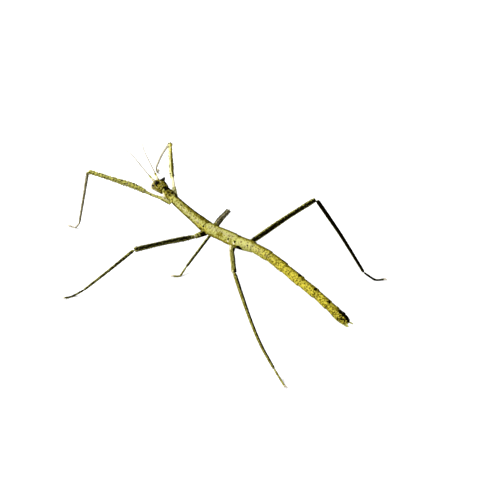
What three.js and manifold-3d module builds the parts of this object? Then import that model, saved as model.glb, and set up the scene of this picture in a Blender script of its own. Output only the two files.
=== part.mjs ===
// Stick insect: an adult female walking stick, standing on all six feet.
//
// Millimetres, +Z up. The head points to -Y and the animal's left side is +X. The floor is z = 0,
// and the origin lies on the floor under the middle of the whole animal's box.

import * as THREE from 'three';
import { mergeVertices } from 'three/addons/utils/BufferGeometryUtils.js';
import Module from 'manifold-3d';

const wasm = await Module();
wasm.setup();

// ---------------------------------------------------------------- driving dimensions

const GAP = 0.3;          // clear space between neighbouring pieces
const FINE_GAP = 0.12;    // the same round the small pieces of the head and tail
const DEG = Math.PI / 180;
const UP = new THREE.Vector3(0, 0, 1);
const TAILWARD = new THREE.Vector3(0, 1, 0);

// The trunk's middle line starts at the front of the head and is walked piece by piece to the tail.
// run: the piece's length. climb: how it rises towards the tail. turn: how it swings to the
// animal's right. wide and deep: full sizes along the piece, as [place from 0 to 1, size].
const TRUNK_START = new THREE.Vector3(-1.3, -32.4, 24.5);
const TRUNK = {
  head: {
    run: 8.1, climb: 6, turn: -2,
    wide: [[0, 2.6], [0.2, 4.5], [0.42, 5.4], [0.68, 5.3], [0.88, 4.4], [1, 3.2]],
    deep: [[0, 2.1], [0.2, 3.9], [0.45, 4.75], [0.72, 4.75], [0.9, 4.0], [1, 3.1]],
    lift: [[0, -0.3], [0.35, 0.6], [0.7, 0.75], [1, 0.1]],
  },
  prothorax: {
    run: 4.6, climb: -11, turn: -6,
    wide: [[0, 3.4], [0.2, 4.2], [0.55, 4.5], [0.85, 4.2], [1, 3.5]],
    deep: [[0, 2.9], [0.2, 3.6], [0.6, 3.9], [0.85, 3.7], [1, 3.2]],
  },
  mesothorax: {
    run: 20.0, climb: -9, turn: -1.4,
    wide: [[0, 3.2], [0.07, 3.7], [0.15, 3.5], [0.5, 3.9], [0.8, 4.5], [0.93, 5.1], [1, 4.7]],
    deep: [[0, 3.0], [0.07, 3.5], [0.15, 3.3], [0.5, 3.7], [0.8, 4.2], [0.93, 5.0], [1, 4.7]],
    lift: [[0, 0], [0.8, 0], [0.93, -0.3], [1, -0.3]],
  },
  metathorax: {
    run: 16.0, climb: 5, turn: 1.7,
    wide: [[0, 4.4], [0.1, 5.0], [0.45, 4.8], [0.72, 5.2], [0.92, 4.8], [1, 4.4]],
    deep: [[0, 4.5], [0.1, 4.7], [0.45, 4.3], [0.72, 4.9], [0.92, 5.1], [1, 4.7]],
    lift: [[0, -0.3], [0.15, -0.15], [0.45, 0], [0.72, -0.15], [0.92, -0.4], [1, -0.4]],
  },
  abdomen_2: {
    run: 7.2, climb: 3.8, turn: 5.5,
    wide: [[0, 4.4], [0.14, 4.7], [0.55, 4.4], [0.86, 4.4], [1, 3.8]],
    deep: [[0, 4.6], [0.14, 4.9], [0.55, 4.5], [0.86, 4.3], [1, 3.7]],
    lift: [[0, -0.4], [0.3, -0.35], [0.86, 0], [1, 0]],
  },
  abdomen_3: { run: 6.9, climb: -6.2, turn: 7.5, size: [3.8, 3.9], deeper: 0.96 },
  abdomen_4: { run: 6.9, climb: -17, turn: 7.3, size: [3.7, 3.9], deeper: 0.96 },
  abdomen_5: { run: 7.8, climb: -20.5, turn: 8.4, size: [3.6, 3.8], deeper: 0.96 },
  abdomen_6: { run: 6.8, climb: -18, turn: 6.5, size: [3.5, 3.6], deeper: 0.96 },
  abdomen_7: { run: 6.2, climb: -18, turn: 2.5, size: [3.3, 3.4], deeper: 0.98 },
  abdomen_8: { run: 3.4, climb: -19, turn: 2.9, size: [3.3, 3.5], deeper: 0.95 },
  abdomen_9: { run: 2.7, climb: -19, turn: 2.8, size: [3.5, 3.6], deeper: 0.92 },
  abdomen_10: {
    run: 3.2, climb: -19, turn: 2.8,
    wide: [[0, 3.3], [0.2, 3.5], [0.7, 3.1], [1, 2.0]],
    deep: [[0, 2.9], [0.2, 3.1], [0.7, 2.6], [1, 1.5]],
  },
};
const SWELL = 1.09;       // how much an abdomen piece swells just before its hind edge
const PINCH = 0.93;       // how much it draws in at its two edges
const RIMS = [0.14, 0.55, 0.86]; // where along it the front edge is over, its middle and the swelling

// Where things sit on the head: how far ahead of the neck, out from the middle line and up from it.
// taper: places along a piece and the share of its size it has there.
const HEAD = {
  eye: { at: [4.75, 2.05, 1.3], radius: 0.75 },
  horn: {
    root: [3.7, 1.4, 2.2], point: [2.8, 2.0, 4.1],
    thick: 1.9, taper: [[0, 1], [0.7, 0.56], [1, 0.26]],
  },
  scape: {
    root: [5.7, 0.85, 2.3], run: 2.9,
    thick: 0.85, taper: [[0, 1], [0.55, 0.8], [0.8, 1], [1, 0.7]],
  },
  labrum: {
    root: [6.2, 0, -0.4], tip: [7.95, 0, -1.4],
    wide: 1.9, taper: [[0, 1], [0.7, 0.9], [1, 0.6]],
    deep: 0.9, thinning: [[0, 1], [1, 0.7]],
  },
  palp: {
    root: [6.5, 0.95, -0.7], knee: [7.0, 1.2, -1.6], tip: [7.8, 0.85, -2.0],
    thick: 0.5, taper: [[0, 1], [0.8, 1.15], [1, 0.7]],
  },
};
// The whip of each feeler: the way it leans, how far its tip droops, and how far the two handles of
// its curve, a third and two thirds along, stand off the straight line: ahead, out and up
const WHIP = {
  run: 13.6, base: 0.62, tip: 0.5,
  left: { ahead: 0.81, out: 0.145, up: 0.575, droop: 0.5, arch: [[0, 0, 0], [0, 0, 2.1]] },
  right: { ahead: 0.77, out: 0.21, up: 0.61, droop: 0.5, arch: [[0.2, -0.2, 0.4], [0.8, -0.8, 0.5]] },
};
// Measured from the tail's end: ahead, out and up
const TAIL = {
  cercus: {
    root: [0.5, 0.66, 0.1], tip: [-1.0, 1.2, -0.3],
    thick: 0.6, taper: [[0, 1], [0.6, 1], [1, 0.6]],
  },
  plate: {
    below: 1.65, ahead: 0.2, run: 8.0,
    wide: 2.4, taper: [[0, 0.8], [0.3, 1], [0.7, 0.85], [1, 0.25]],
    deep: 0.9, thinning: [[0, 0.6], [0.5, 1.4], [1, 0.7]],
  },
};

// Legs. station: the leg's distance along the trunk from the front of the head. coxa: how thick
// its first piece is. corners: how far a limb is squared. The other sizes are full ones along it.
const LEG_FORMS = {
  front: {
    station: 12.0, coxa: 1.7,
    femur: {
      run: 29.3, corners: 0.1,
      deep: [
        [0, 1.3], [0.06, 1.1], [0.22, 1.1], [0.3, 1.9], [0.5, 1.75], [0.8, 1.5], [0.95, 1.6], [1, 1.2],
      ],
      wide: [
        [0, 1.2], [0.06, 0.9], [0.22, 0.9], [0.3, 1.4], [0.5, 1.3], [0.8, 1.2], [0.95, 1.3], [1, 1.0],
      ],
    },
    tibia: {
      run: 32.4, corners: 0.08,
      deep: [[0, 0.9], [0.05, 1.1], [0.15, 1.0], [0.6, 0.85], [1, 0.75]],
      wide: [[0, 0.8], [0.05, 0.95], [0.15, 0.85], [0.6, 0.75], [1, 0.7]],
    },
  },
  middle: {
    station: 31.6, coxa: 1.9,
    femur: {
      run: 27.2, corners: 0.1,
      deep: [
        [0, 1.4], [0.1, 1.6], [0.19, 2.7], [0.34, 2.1], [0.7, 1.8], [0.86, 1.8], [0.94, 2.2], [1, 1.5],
      ],
      wide: [[0, 1.3], [0.1, 1.4], [0.25, 1.6], [0.7, 1.4], [0.94, 1.7], [1, 1.2]],
    },
    tibia: {
      run: 31.7, corners: 0.08,
      deep: [[0, 1.0], [0.05, 1.3], [0.13, 1.2], [0.2, 1.9], [0.27, 1.25], [0.6, 1.1], [1, 0.95]],
      wide: [[0, 0.9], [0.05, 1.15], [0.3, 1.05], [0.6, 0.95], [1, 0.85]],
    },
  },
  hind: {
    station: 45.4, coxa: 1.9,
    femur: {
      run: 30.1, corners: 0.1,
      deep: [[0, 1.4], [0.08, 1.8], [0.3, 2.1], [0.7, 1.8], [0.86, 1.8], [0.94, 2.1], [1, 1.5]],
      wide: [[0, 1.3], [0.08, 1.5], [0.3, 1.7], [0.7, 1.5], [0.94, 1.7], [1, 1.2]],
    },
    tibia: {
      run: 35.5, corners: 0.08,
      deep: [[0, 1.0], [0.04, 1.5], [0.12, 1.45], [0.5, 1.25], [0.8, 1.1], [1, 1.0]],
      wide: [[0, 0.9], [0.04, 1.3], [0.12, 1.25], [0.5, 1.05], [0.8, 0.95], [1, 0.85]],
    },
  },
};

// How each leg stands. root and hip: where the coxa starts and ends, ahead, out and up from the
// trunk's line at the leg's station. Headings are degrees from straight ahead towards the leg's own
// side, rises are degrees above level. bends: places along a limb that stand off its straight line,
// each by [ahead, out, up]. The tibia comes down to the ankle's height, the foot to the floor.
const STANCE = {
  front_left: {
    root: [0, 0.9, -1.0], hip: [2.4, 3.1, -0.1],
    femur: {
      heading: 35.3, rise: 17.3,
      bends: [[0.16, [0, 0, -0.1]], [0.32, [0, 0, 0.9]], [0.66, [0, 0, 0.45]]],
    },
    tibia: { heading: -7.2, ankle: 3.1, bends: [[0.5, [0, -0.1, 0]]] },
    foot: { heading: 19, run: 2.4, toes: 23, toesRun: 2.5 },
  },
  front_right: {
    root: [0, 0.9, -1.0], hip: [3.1, 3.9, 1.0],
    femur: {
      heading: 37.9, rise: 5.6,
      bends: [[0.16, [0, -0.2, -0.1]], [0.32, [0, -0.6, 0.2]], [0.6, [0, -0.3, 0]]],
    },
    tibia: { heading: 22.3, ankle: 4.5, bends: [[0.5, [0.6, 0, 0.2]]] },
    foot: { heading: 46, run: 3.2, toes: 50, toesRun: 1.9 },
  },
  middle_left: {
    root: [-1.2, 0.9, -1.7], hip: [-0.1, 5.2, -2.3],
    femur: { heading: 84.8, rise: 12.8, bends: [[0.5, [0.2, 0, 0.1]]] },
    tibia: { heading: 27.7, ankle: 2.0, bends: [[0.5, [0, 0, -0.2]]] },
    foot: { heading: 64, run: 4.4, toes: 72, toesRun: 2.8 },
  },
  middle_right: {
    root: [-1.2, 0.9, -1.7], hip: [-1.0, 3.8, -1.0],
    femur: { heading: 54.3, rise: -22.5, bends: [[0.5, [0, 0, 0.2]]] },
    tibia: { heading: -105.1, ankle: 2.2, bends: [[0.5, [0, 0, 0]]] },
    foot: { heading: -98, run: 3.9, toes: -50, toesRun: 2.4 },
  },
  hind_left: {
    root: [-1.7, 0.9, -1.7], hip: [-3.2, 3.2, -2.4],
    femur: { heading: 138.2, rise: 22.8, bends: [[0.5, [0, 0, 0.2]]] },
    tibia: { heading: 175.3, ankle: 3.1, bends: [[0.4, [0, 1.15, 0]], [0.7, [0, 1.35, 0]]] },
    foot: { heading: 175, run: 3.9, toes: 155, toesRun: 2.4 },
  },
  hind_right: {
    root: [-1.7, 0.9, -1.7], hip: [-3.2, 4.3, -3.4],
    femur: { heading: 113.5, rise: 26.8, bends: [[0.6, [0, 0, 0.45]]] },
    tibia: { heading: 147.8, ankle: 2.7, bends: [[0.5, [0, 0.4, 0.15]]] },
    foot: { heading: 152, run: 4.7, toes: 130, toesRun: 3.2 },
  },
};
const COXA_TAPER = [[0, 1.4], [0.4, 1.3], [0.7, 0.95], [0.85, 0.8], [1, 0.7]]; // shares of its size
const FOOT = {
  ankleThick: 0.85, toeThick: 0.72, ends: 0.8,    // its two ends have this share of its thickness
  beads: 4, bead: 0.1, waist: 0.35, crest: 0.85,  // four beads: each is thin at its waist, then thick
  sink: 0.07,             // how far the round sole would dip below the floor: it is cut flat there
  tipLift: 0.35,          // how far the toe's end rises off the floor
};
// Two hooks and a pad. root, crook and point: how far each lies ahead of the foot's end, out to the
// side and up, for one of the two hooks.
const CLAW = {
  root: [0.1, 0.11, 0], crook: [0.88, 0.57, 0.14], point: [1.25, 0.65, -0.22],
  thick: 0.4, taper: [[0, 1], [1, 0.55]],
  pad: 0.62, padRun: 0.56, padTaper: [[0, 1], [0.6, 1], [1, 0.5]],
};

// How finely each kind of piece is faceted: sides round it and steps along it
const FACETS = {
  ring: { sides: 14, steps: 5 }, longRing: { sides: 14, steps: 9 },
  limb: { sides: 8, steps: 10 }, coxa: { sides: 8, steps: 5 }, foot: { sides: 6, steps: 12 },
  whip: { sides: 6, steps: 9 }, scape: { sides: 8, steps: 5 }, small: { sides: 6, steps: 3 },
  lip: { sides: 8, steps: 4 }, hook: { sides: 4, steps: 3 }, ball: { sides: 10, steps: 7 },
  chest: { sides: 14, steps: 48 },
};
const LONG_RING = 10;     // a trunk piece longer than this takes more steps
const WELD = 1e-4;        // points closer than this are one
const SLIVER = 0.02;      // edges shorter than this are closed up after a cut

// ---------------------------------------------------------------- materials

function finish(color, roughness) {
  return new THREE.MeshStandardMaterial({ color, roughness, metalness: 0 });
}
const finishes = {
  cuticle: () => finish(0xb5b060, 0.7),
  limb: () => finish(0x7f7c36, 0.7),
  feeler: () => finish(0xb4ac88, 0.6),
  horn: () => finish(0x2a2716, 0.5),
  eye: () => finish(0x1a140c, 0.2),
  claw: () => finish(0x8a7238, 0.4),
};

// ---------------------------------------------------------------- geometry helpers

const lerp = THREE.MathUtils.lerp;

// Eased value at t of a short profile of [place, value] pairs
function valueAt(profile, t) {
  const next = profile.findIndex(([place]) => place >= t);
  if (next <= 0) {
    return next === 0 ? profile[0][1] : profile.at(-1)[1];
  }
  const [before, low] = profile[next - 1];
  const [after, high] = profile[next];
  return lerp(low, high, THREE.MathUtils.smoothstep(t, before, after));
}

// A closed limb or trunk piece: a cylinder whose rings are laid along a path between two places on
// it. form.wide and form.deep are full sizes, form.lift raises the rings, form.corners squares them.
function loft(path, from, to, form, { sides, steps }, up = UP) {
  const geometry = new THREE.CylinderGeometry(1, 1, 1, sides, steps);
  const position = geometry.getAttribute('position');
  const corners = form.corners ?? 0;
  for (let i = 0; i < position.count; i += 1) {
    const spot = new THREE.Vector3().fromBufferAttribute(position, i);
    const t = 0.5 - 0.5 * Math.cos(Math.PI * (spot.y + 0.5));
    const place = lerp(from, to, t);
    const ahead = path.getTangentAt(place);
    const side = new THREE.Vector3().crossVectors(ahead, up).normalize();
    const top = new THREE.Vector3().crossVectors(side, ahead);
    const angle = Math.atan2(spot.z, spot.x);
    const squared = 1 + corners * Math.sin(2 * angle) ** 2;
    const wide = valueAt(form.wide, t) / 2 * squared;
    const deep = valueAt(form.deep ?? form.wide, t) / 2 * squared;
    const lift = form.lift ? valueAt(form.lift, t) : 0;
    const point = path.getPointAt(place);
    point.addScaledVector(side, spot.x * wide);
    point.addScaledVector(top, spot.z * deep + lift);
    position.setXYZ(i, point.x, point.y, point.z);
  }
  return geometry;
}

// A profile made from a full size and the shares of it along a piece
function tapered(size, shares) {
  return shares.map(([place, share]) => [place, share * size]);
}

// The same form, larger by a clear space all round
function roomier(form, space) {
  const grown = (profile) => profile.map(([place, size]) => [place, size + 2 * space]);
  return { ...form, wide: grown(form.wide), deep: grown(form.deep ?? form.wide) };
}

function solid(geometry) {
  const bare = geometry.clone();
  bare.deleteAttribute('normal');
  bare.deleteAttribute('uv');
  const merged = mergeVertices(bare, WELD);
  return new wasm.Manifold(new wasm.Mesh({
    numProp: 3,
    vertProperties: new Float32Array(merged.getAttribute('position').array),
    triVerts: new Uint32Array(merged.getIndex().array),
  }));
}

function surface(body) {
  const mesh = body.getMesh();
  const geometry = new THREE.BufferGeometry();
  geometry.setAttribute('position', new THREE.BufferAttribute(mesh.vertProperties, 3));
  geometry.setIndex(new THREE.BufferAttribute(mesh.triVerts, 1));
  geometry.computeVertexNormals();
  return geometry;
}

// What is left of a body after a cut: its largest piece, without the slivers that a cut leaves
function largest(body) {
  const size = (piece) => piece.volume();
  const kept = body.decompose().reduce((best, piece) => (size(piece) > size(best) ? piece : best));
  return kept.simplify(SLIVER);
}

const model = new THREE.Group();

function place(name, geometry, material) {
  const mesh = new THREE.Mesh(geometry, material);
  mesh.name = name;
  model.add(mesh);
}

// ---------------------------------------------------------------- trunk

// A step of given length: turn swings it to the animal's right, climb raises its hind end
function backwards(run, climb, turn) {
  const level = run * Math.cos(climb * DEG);
  return new THREE.Vector3(
    -level * Math.sin(turn * DEG), level * Math.cos(turn * DEG), run * Math.sin(climb * DEG),
  );
}

const trunkJoints = [TRUNK_START.clone()];
const trunkStarts = {};
let trunkRun = 0;
for (const [name, piece] of Object.entries(TRUNK)) {
  trunkStarts[name] = trunkRun;
  trunkRun += piece.run;
  trunkJoints.push(trunkJoints.at(-1).clone().add(backwards(piece.run, piece.climb, piece.turn)));
}
const trunkLine = new THREE.CatmullRomCurve3(trunkJoints, false, 'centripetal');

// An abdomen piece draws in at both edges and swells before the hind one
function abdomenForm({ size: [front, back], deeper }) {
  const wide = [
    [0, front * PINCH], [RIMS[0], front], [RIMS[1], (front + back) / 2],
    [RIMS[2], back * SWELL], [1, back * PINCH],
  ];
  return { wide, deep: wide.map(([spot, size]) => [spot, size * deeper]) };
}

const trunkForms = {};
for (const [name, piece] of Object.entries(TRUNK)) {
  trunkForms[name] = piece.wide ? piece : abdomenForm(piece);
}

function trunkPiece(name, form, clearance = 0) {
  const from = (trunkStarts[name] + GAP / 2 - clearance) / trunkRun;
  const to = (trunkStarts[name] + TRUNK[name].run - GAP / 2 + clearance) / trunkRun;
  const facets = TRUNK[name].run > LONG_RING ? FACETS.longRing : FACETS.ring;
  return loft(trunkLine, Math.max(from, 0), Math.min(to, 1), form, facets);
}

// A point given by its distance along the trunk and its stand-off from the line there
function fromTrunk(distance, side, [ahead, out, rise]) {
  const point = trunkLine.getPointAt(distance / trunkRun);
  return point.add(new THREE.Vector3(side * out, -ahead, rise));
}

for (const name of Object.keys(TRUNK)) {
  if (name !== 'head') {
    place(name, trunkPiece(name, trunkForms[name]), finishes.cuticle());
  }
}

// ---------------------------------------------------------------- head

const neck = TRUNK.head.run;

function fromNeck(side, offsets) {
  return fromTrunk(neck, side, offsets);
}

const headBody = solid(trunkPiece('head', trunkForms.head));
const headRoom = solid(trunkPiece('head', roomier(trunkForms.head, FINE_GAP)));
let headCut = headBody;

for (const [sideName, side] of [['left', 1], ['right', -1]]) {
  const { eye, horn, scape, palp } = HEAD;
  const { sides: around, steps: down } = FACETS.ball;
  const eyeAt = fromNeck(side, eye.at);
  const ball = new THREE.SphereGeometry(eye.radius, around, down).translate(...eyeAt);
  const hollow = new THREE.SphereGeometry(eye.radius + FINE_GAP, around, down).translate(...eyeAt);
  headCut = headCut.subtract(solid(hollow));
  place(`eye_${sideName}`, ball, finishes.eye());

  const hornPath = new THREE.LineCurve3(fromNeck(side, horn.root), fromNeck(side, horn.point));
  const hornForm = { wide: tapered(horn.thick, horn.taper) };
  const hornBody = solid(loft(hornPath, 0, 1, hornForm, FACETS.lip, TAILWARD));
  place(`horn_${sideName}`, surface(largest(hornBody.subtract(headRoom))), finishes.horn());

  // The feeler: a stout scape, then a thin whip that arches and droops a little
  const lean = WHIP[sideName];
  const direction = new THREE.Vector3(side * lean.out, -lean.ahead, lean.up).normalize();
  const root = fromNeck(side, scape.root);
  const scapeEnd = root.clone().addScaledVector(direction, scape.run);
  const scapeForm = { wide: tapered(scape.thick, scape.taper) };
  const scapePath = new THREE.LineCurve3(root, scapeEnd);
  const scapeBody = solid(loft(scapePath, 0, 1, scapeForm, FACETS.scape));
  place(`scape_${sideName}`, surface(largest(scapeBody.subtract(headRoom))), finishes.feeler());
  const tip = scapeEnd.clone().addScaledVector(direction, WHIP.run);
  tip.z -= lean.droop;
  const handles = lean.arch.map(([ahead, out, up], index) => (
    scapeEnd.clone().lerp(tip, (index + 1) / 3).add(new THREE.Vector3(side * out, -ahead, up))
  ));
  const whip = new THREE.CubicBezierCurve3(scapeEnd, ...handles, tip);
  const whipForm = { wide: [[0, WHIP.base], [1, WHIP.tip]] };
  const whipShape = loft(whip, GAP / WHIP.run, 1, whipForm, FACETS.whip);
  place(`flagellum_${sideName}`, whipShape, finishes.feeler());

  const palpStops = [palp.root, palp.knee, palp.tip].map((stop) => fromNeck(side, stop));
  const palpPath = new THREE.QuadraticBezierCurve3(...palpStops);
  const palpForm = { wide: tapered(palp.thick, palp.taper) };
  const palpBody = solid(loft(palpPath, 0, 1, palpForm, FACETS.small));
  place(`palp_${sideName}`, surface(largest(palpBody.subtract(headRoom))), finishes.feeler());
}
place('head', surface(headCut), finishes.cuticle());

// The upper lip hangs between the palps at the very front
const { labrum } = HEAD;
const lipPath = new THREE.LineCurve3(fromNeck(1, labrum.root), fromNeck(1, labrum.tip));
const lipForm = {
  wide: tapered(labrum.wide, labrum.taper),
  deep: tapered(labrum.deep, labrum.thinning),
};
const lipBody = solid(loft(lipPath, 0, 1, lipForm, FACETS.lip));
place('labrum', surface(largest(lipBody.subtract(headRoom))), finishes.cuticle());

// ---------------------------------------------------------------- tail

const tailRoom = ['abdomen_7', 'abdomen_8', 'abdomen_9', 'abdomen_10']
  .map((name) => solid(trunkPiece(name, roomier(trunkForms[name], FINE_GAP), GAP / 2)))
  .reduce((sum, piece) => sum.add(piece));

for (const [sideName, side] of [['left', 1], ['right', -1]]) {
  const { root, tip, thick, taper } = TAIL.cercus;
  const path = new THREE.LineCurve3(fromTrunk(trunkRun, side, root), fromTrunk(trunkRun, side, tip));
  const body = solid(loft(path, 0, 1, { wide: tapered(thick, taper) }, FACETS.small));
  place(`cercus_${sideName}`, surface(largest(body.subtract(tailRoom))), finishes.limb());
}

// The keeled plate under the last three rings, pointed at its end
const { plate } = TAIL;
const { climb: plateClimb, turn: plateTurn } = TRUNK.abdomen_9;
const plateEnd = fromTrunk(trunkRun, 1, [plate.ahead, 0, -plate.below]);
const plateStart = plateEnd.clone().sub(backwards(plate.run, plateClimb, plateTurn));
const plateForm = {
  wide: tapered(plate.wide, plate.taper),
  deep: tapered(plate.deep, plate.thinning),
};
const platePath = new THREE.LineCurve3(plateStart, plateEnd);
const plateBody = solid(loft(platePath, 0, 1, plateForm, FACETS.coxa));
place('operculum', surface(largest(plateBody.subtract(tailRoom))), finishes.cuticle());

// ---------------------------------------------------------------- legs

// The chest and the first ring as one smooth body with a clear space round it, to cut the coxae by
const CHEST = ['prothorax', 'mesothorax', 'metathorax', 'abdomen_2'];
const LEVEL = [[0, 0], [1, 0]];
const chestStart = trunkStarts[CHEST[0]];
const chestRun = CHEST.reduce((sum, name) => sum + TRUNK[name].run, 0);

function alongChest(measure) {
  return CHEST.flatMap((name) => (trunkForms[name][measure] ?? LEVEL).map(([spot, size]) => (
    [(trunkStarts[name] - chestStart + spot * TRUNK[name].run) / chestRun, size]
  )));
}
const chestForm = { wide: alongChest('wide'), deep: alongChest('deep'), lift: alongChest('lift') };
const chestEnds = [chestStart, chestStart + chestRun].map((distance) => distance / trunkRun);
const chest = solid(loft(trunkLine, ...chestEnds, roomier(chestForm, GAP), FACETS.chest));

// A unit step at a heading from straight ahead towards the leg's side, and a rise above level
function pointing(side, heading, rise) {
  return new THREE.Vector3(
    side * Math.cos(rise * DEG) * Math.sin(heading * DEG),
    -Math.cos(rise * DEG) * Math.cos(heading * DEG),
    Math.sin(rise * DEG),
  );
}

function bentPath(start, end, bends, side) {
  const bent = bends.map(([place, [ahead, out, rise]]) => (
    start.clone().lerp(end, place).add(new THREE.Vector3(side * out, -ahead, rise))
  ));
  return new THREE.CatmullRomCurve3([start, ...bent, end]);
}

function limb(path, form, up) {
  return solid(loft(path, 0, 1, form, FACETS.limb, up));
}

// The foot: down from the ankle, flat along the floor, its last joint lifted
function footPath(ankle, side, { heading, run, toes, toesRun }) {
  const rest = FOOT.toeThick / 2 - FOOT.sink;
  const landing = ankle.clone().addScaledVector(pointing(side, heading, 0), run);
  landing.z = rest;
  const middle = landing.clone().addScaledVector(pointing(side, toes, 0), toesRun / 2);
  const tip = landing.clone().addScaledVector(pointing(side, toes, 0), toesRun);
  tip.z = rest + FOOT.tipLift;
  return new THREE.CatmullRomCurve3([ankle, landing, middle, tip], false, 'centripetal');
}

function footForm() {
  const wide = [[0, FOOT.ankleThick * FOOT.ends]];
  for (let joint = 0; joint < FOOT.beads; joint += 1) {
    const start = joint / FOOT.beads;
    const thick = lerp(FOOT.ankleThick, FOOT.toeThick, start);
    wide.push([start + FOOT.waist / FOOT.beads, thick - FOOT.bead]);
    wide.push([start + FOOT.crest / FOOT.beads, thick + FOOT.bead]);
  }
  wide.push([1, FOOT.toeThick * FOOT.ends]);
  return { wide };
}

// Two hooks and the pad between them
function claws(path) {
  const ahead = path.getTangentAt(1).setZ(0).normalize();
  const across = new THREE.Vector3().crossVectors(ahead, UP);
  const start = path.getPointAt(1).addScaledVector(ahead, GAP / 2);
  const padEnd = start.clone().addScaledVector(ahead, CLAW.padRun);
  const padForm = { wide: tapered(CLAW.pad, CLAW.padTaper) };
  let body = solid(loft(new THREE.LineCurve3(start, padEnd), 0, 1, padForm, FACETS.small));
  for (const side of [1, -1]) {
    const stops = [CLAW.root, CLAW.crook, CLAW.point].map(([forward, out, rise]) => (
      start.clone().addScaledVector(ahead, forward).addScaledVector(across, side * out)
        .addScaledVector(UP, rise)
    ));
    const form = { wide: tapered(CLAW.thick, CLAW.taper) };
    const hook = loft(new THREE.QuadraticBezierCurve3(...stops), 0, 1, form, FACETS.hook);
    body = body.add(solid(hook));
  }
  return body;
}

for (const [leg, stance] of Object.entries(STANCE)) {
  const [pair, sideName] = leg.split('_');
  const form = LEG_FORMS[pair];
  const side = sideName === 'left' ? 1 : -1;

  const hip = fromTrunk(form.station, side, stance.hip);
  const { femur, tibia, foot } = stance;
  const knee = hip.clone().addScaledVector(pointing(side, femur.heading, femur.rise), form.femur.run);
  const drop = Math.asin((tibia.ankle - knee.z) / form.tibia.run) / DEG;
  const ankle = knee.clone().addScaledVector(pointing(side, tibia.heading, drop), form.tibia.run);

  // The outer side of the bent knee is the top of both limbs
  const femurRun = knee.clone().sub(hip).normalize();
  const tibiaRun = ankle.clone().sub(knee).normalize();
  const outer = femurRun.clone().sub(tibiaRun).normalize();

  const femurPath = bentPath(hip, knee, femur.bends, side);
  const femurBody = limb(femurPath, form.femur, outer);
  const femurRoom = limb(femurPath, roomier(form.femur, GAP), outer);
  place(`${leg}_femur`, surface(femurBody), finishes.limb());

  const root = fromTrunk(form.station, side, stance.root);
  const coxaForm = { wide: tapered(form.coxa, COXA_TAPER) };
  const coxaBody = solid(loft(new THREE.LineCurve3(root, hip), 0, 1, coxaForm, FACETS.coxa));
  const coxaClear = largest(coxaBody.subtract(chest).subtract(femurRoom));
  place(`${leg}_coxa`, surface(coxaClear), finishes.limb());

  const tibiaPath = bentPath(knee, ankle, tibia.bends, side);
  const tibiaBody = limb(tibiaPath, form.tibia, outer);
  place(`${leg}_tibia`, surface(largest(tibiaBody.subtract(femurRoom))), finishes.limb());

  const footLine = footPath(ankle, side, foot);
  const tibiaRoom = limb(tibiaPath, roomier(form.tibia, GAP), outer);
  const footBody = solid(loft(footLine, 0, 1, footForm(), FACETS.foot));
  const footClear = largest(footBody.subtract(tibiaRoom));
  place(`${leg}_tarsus`, surface(footClear.trimByPlane([0, 0, 1], 0)), finishes.limb());
  place(`${leg}_claws`, surface(claws(footLine)), finishes.claw());
}

// ---------------------------------------------------------------- origin

const box = new THREE.Box3().setFromObject(model);
const centre = box.getCenter(new THREE.Vector3());
model.position.set(-centre.x, -centre.y, 0);

export default model;
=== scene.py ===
# %% [markdown]
# # A walking stick insect, life size
#
# The animal stands on all six feet with its head low and its feelers held forward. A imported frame
# already gives the true size and pose of every part: trunk rings, limbs, feelers, claws and eyes.
# This lesson measures those parts and grows a fine surface around the same lines: one unbroken skin
# for the whole body, with separate eyes, horns and claws, and a grain of small bumps over it.

# %% Load the frame
import math

import bmesh
import bpy
import numpy as np
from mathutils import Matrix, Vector, kdtree, noise


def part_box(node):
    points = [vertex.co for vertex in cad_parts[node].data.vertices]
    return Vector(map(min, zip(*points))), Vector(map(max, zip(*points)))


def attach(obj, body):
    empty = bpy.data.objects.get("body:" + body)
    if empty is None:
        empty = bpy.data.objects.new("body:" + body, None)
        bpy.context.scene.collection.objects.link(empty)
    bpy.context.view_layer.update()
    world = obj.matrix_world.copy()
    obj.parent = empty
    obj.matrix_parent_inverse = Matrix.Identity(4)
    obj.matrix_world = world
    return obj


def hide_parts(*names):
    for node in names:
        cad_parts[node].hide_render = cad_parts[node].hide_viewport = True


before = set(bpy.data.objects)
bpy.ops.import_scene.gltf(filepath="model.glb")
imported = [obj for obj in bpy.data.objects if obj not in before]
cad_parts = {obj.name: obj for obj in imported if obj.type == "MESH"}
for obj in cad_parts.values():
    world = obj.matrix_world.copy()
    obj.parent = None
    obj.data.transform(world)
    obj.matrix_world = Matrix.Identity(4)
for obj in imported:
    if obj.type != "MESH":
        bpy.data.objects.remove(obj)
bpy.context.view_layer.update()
print("frame parts:", len(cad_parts))

# %% [markdown]
# Everything below is worked out in millimetres, because that is how a small animal is measured, and
# each mesh is turned into metres when it is written. The frame's head points to -Y, the animal's
# left side is +X, and the floor is z = 0.

# %% Units and small helpers
MM = 0.001
DEG = math.pi / 180
UP = np.array([0.0, 0.0, 1.0])
SIDES = {"left": 1, "right": -1}


def unit(vectors):
    """The same vectors at length one."""
    return vectors / np.linalg.norm(vectors, axis=-1, keepdims=True)


def ramp(values, low, high):
    """0 below low, 1 above high and a smooth rise between."""
    share = np.clip((values - low) / (high - low), 0, 1)
    return share * share * (3 - 2 * share)


def hump(offset, width):
    """A smooth bump of height one, about twice width across."""
    return np.exp(-((offset / width) ** 2))


def wrapped(angles):
    """The same angles from -pi to pi."""
    return np.angle(np.exp(1j * angles))


def toward(azimuth, elevation):
    """The unit vector to an azimuth, counted from -Y towards +X, and an elevation."""
    level = math.cos(elevation)
    return np.array([math.sin(azimuth) * level, -math.cos(azimuth) * level, math.sin(elevation)])


def new_object(name, data):
    """A new object in the scene."""
    made = bpy.data.objects.new(name, data)
    bpy.context.scene.collection.objects.link(made)
    return made


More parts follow.
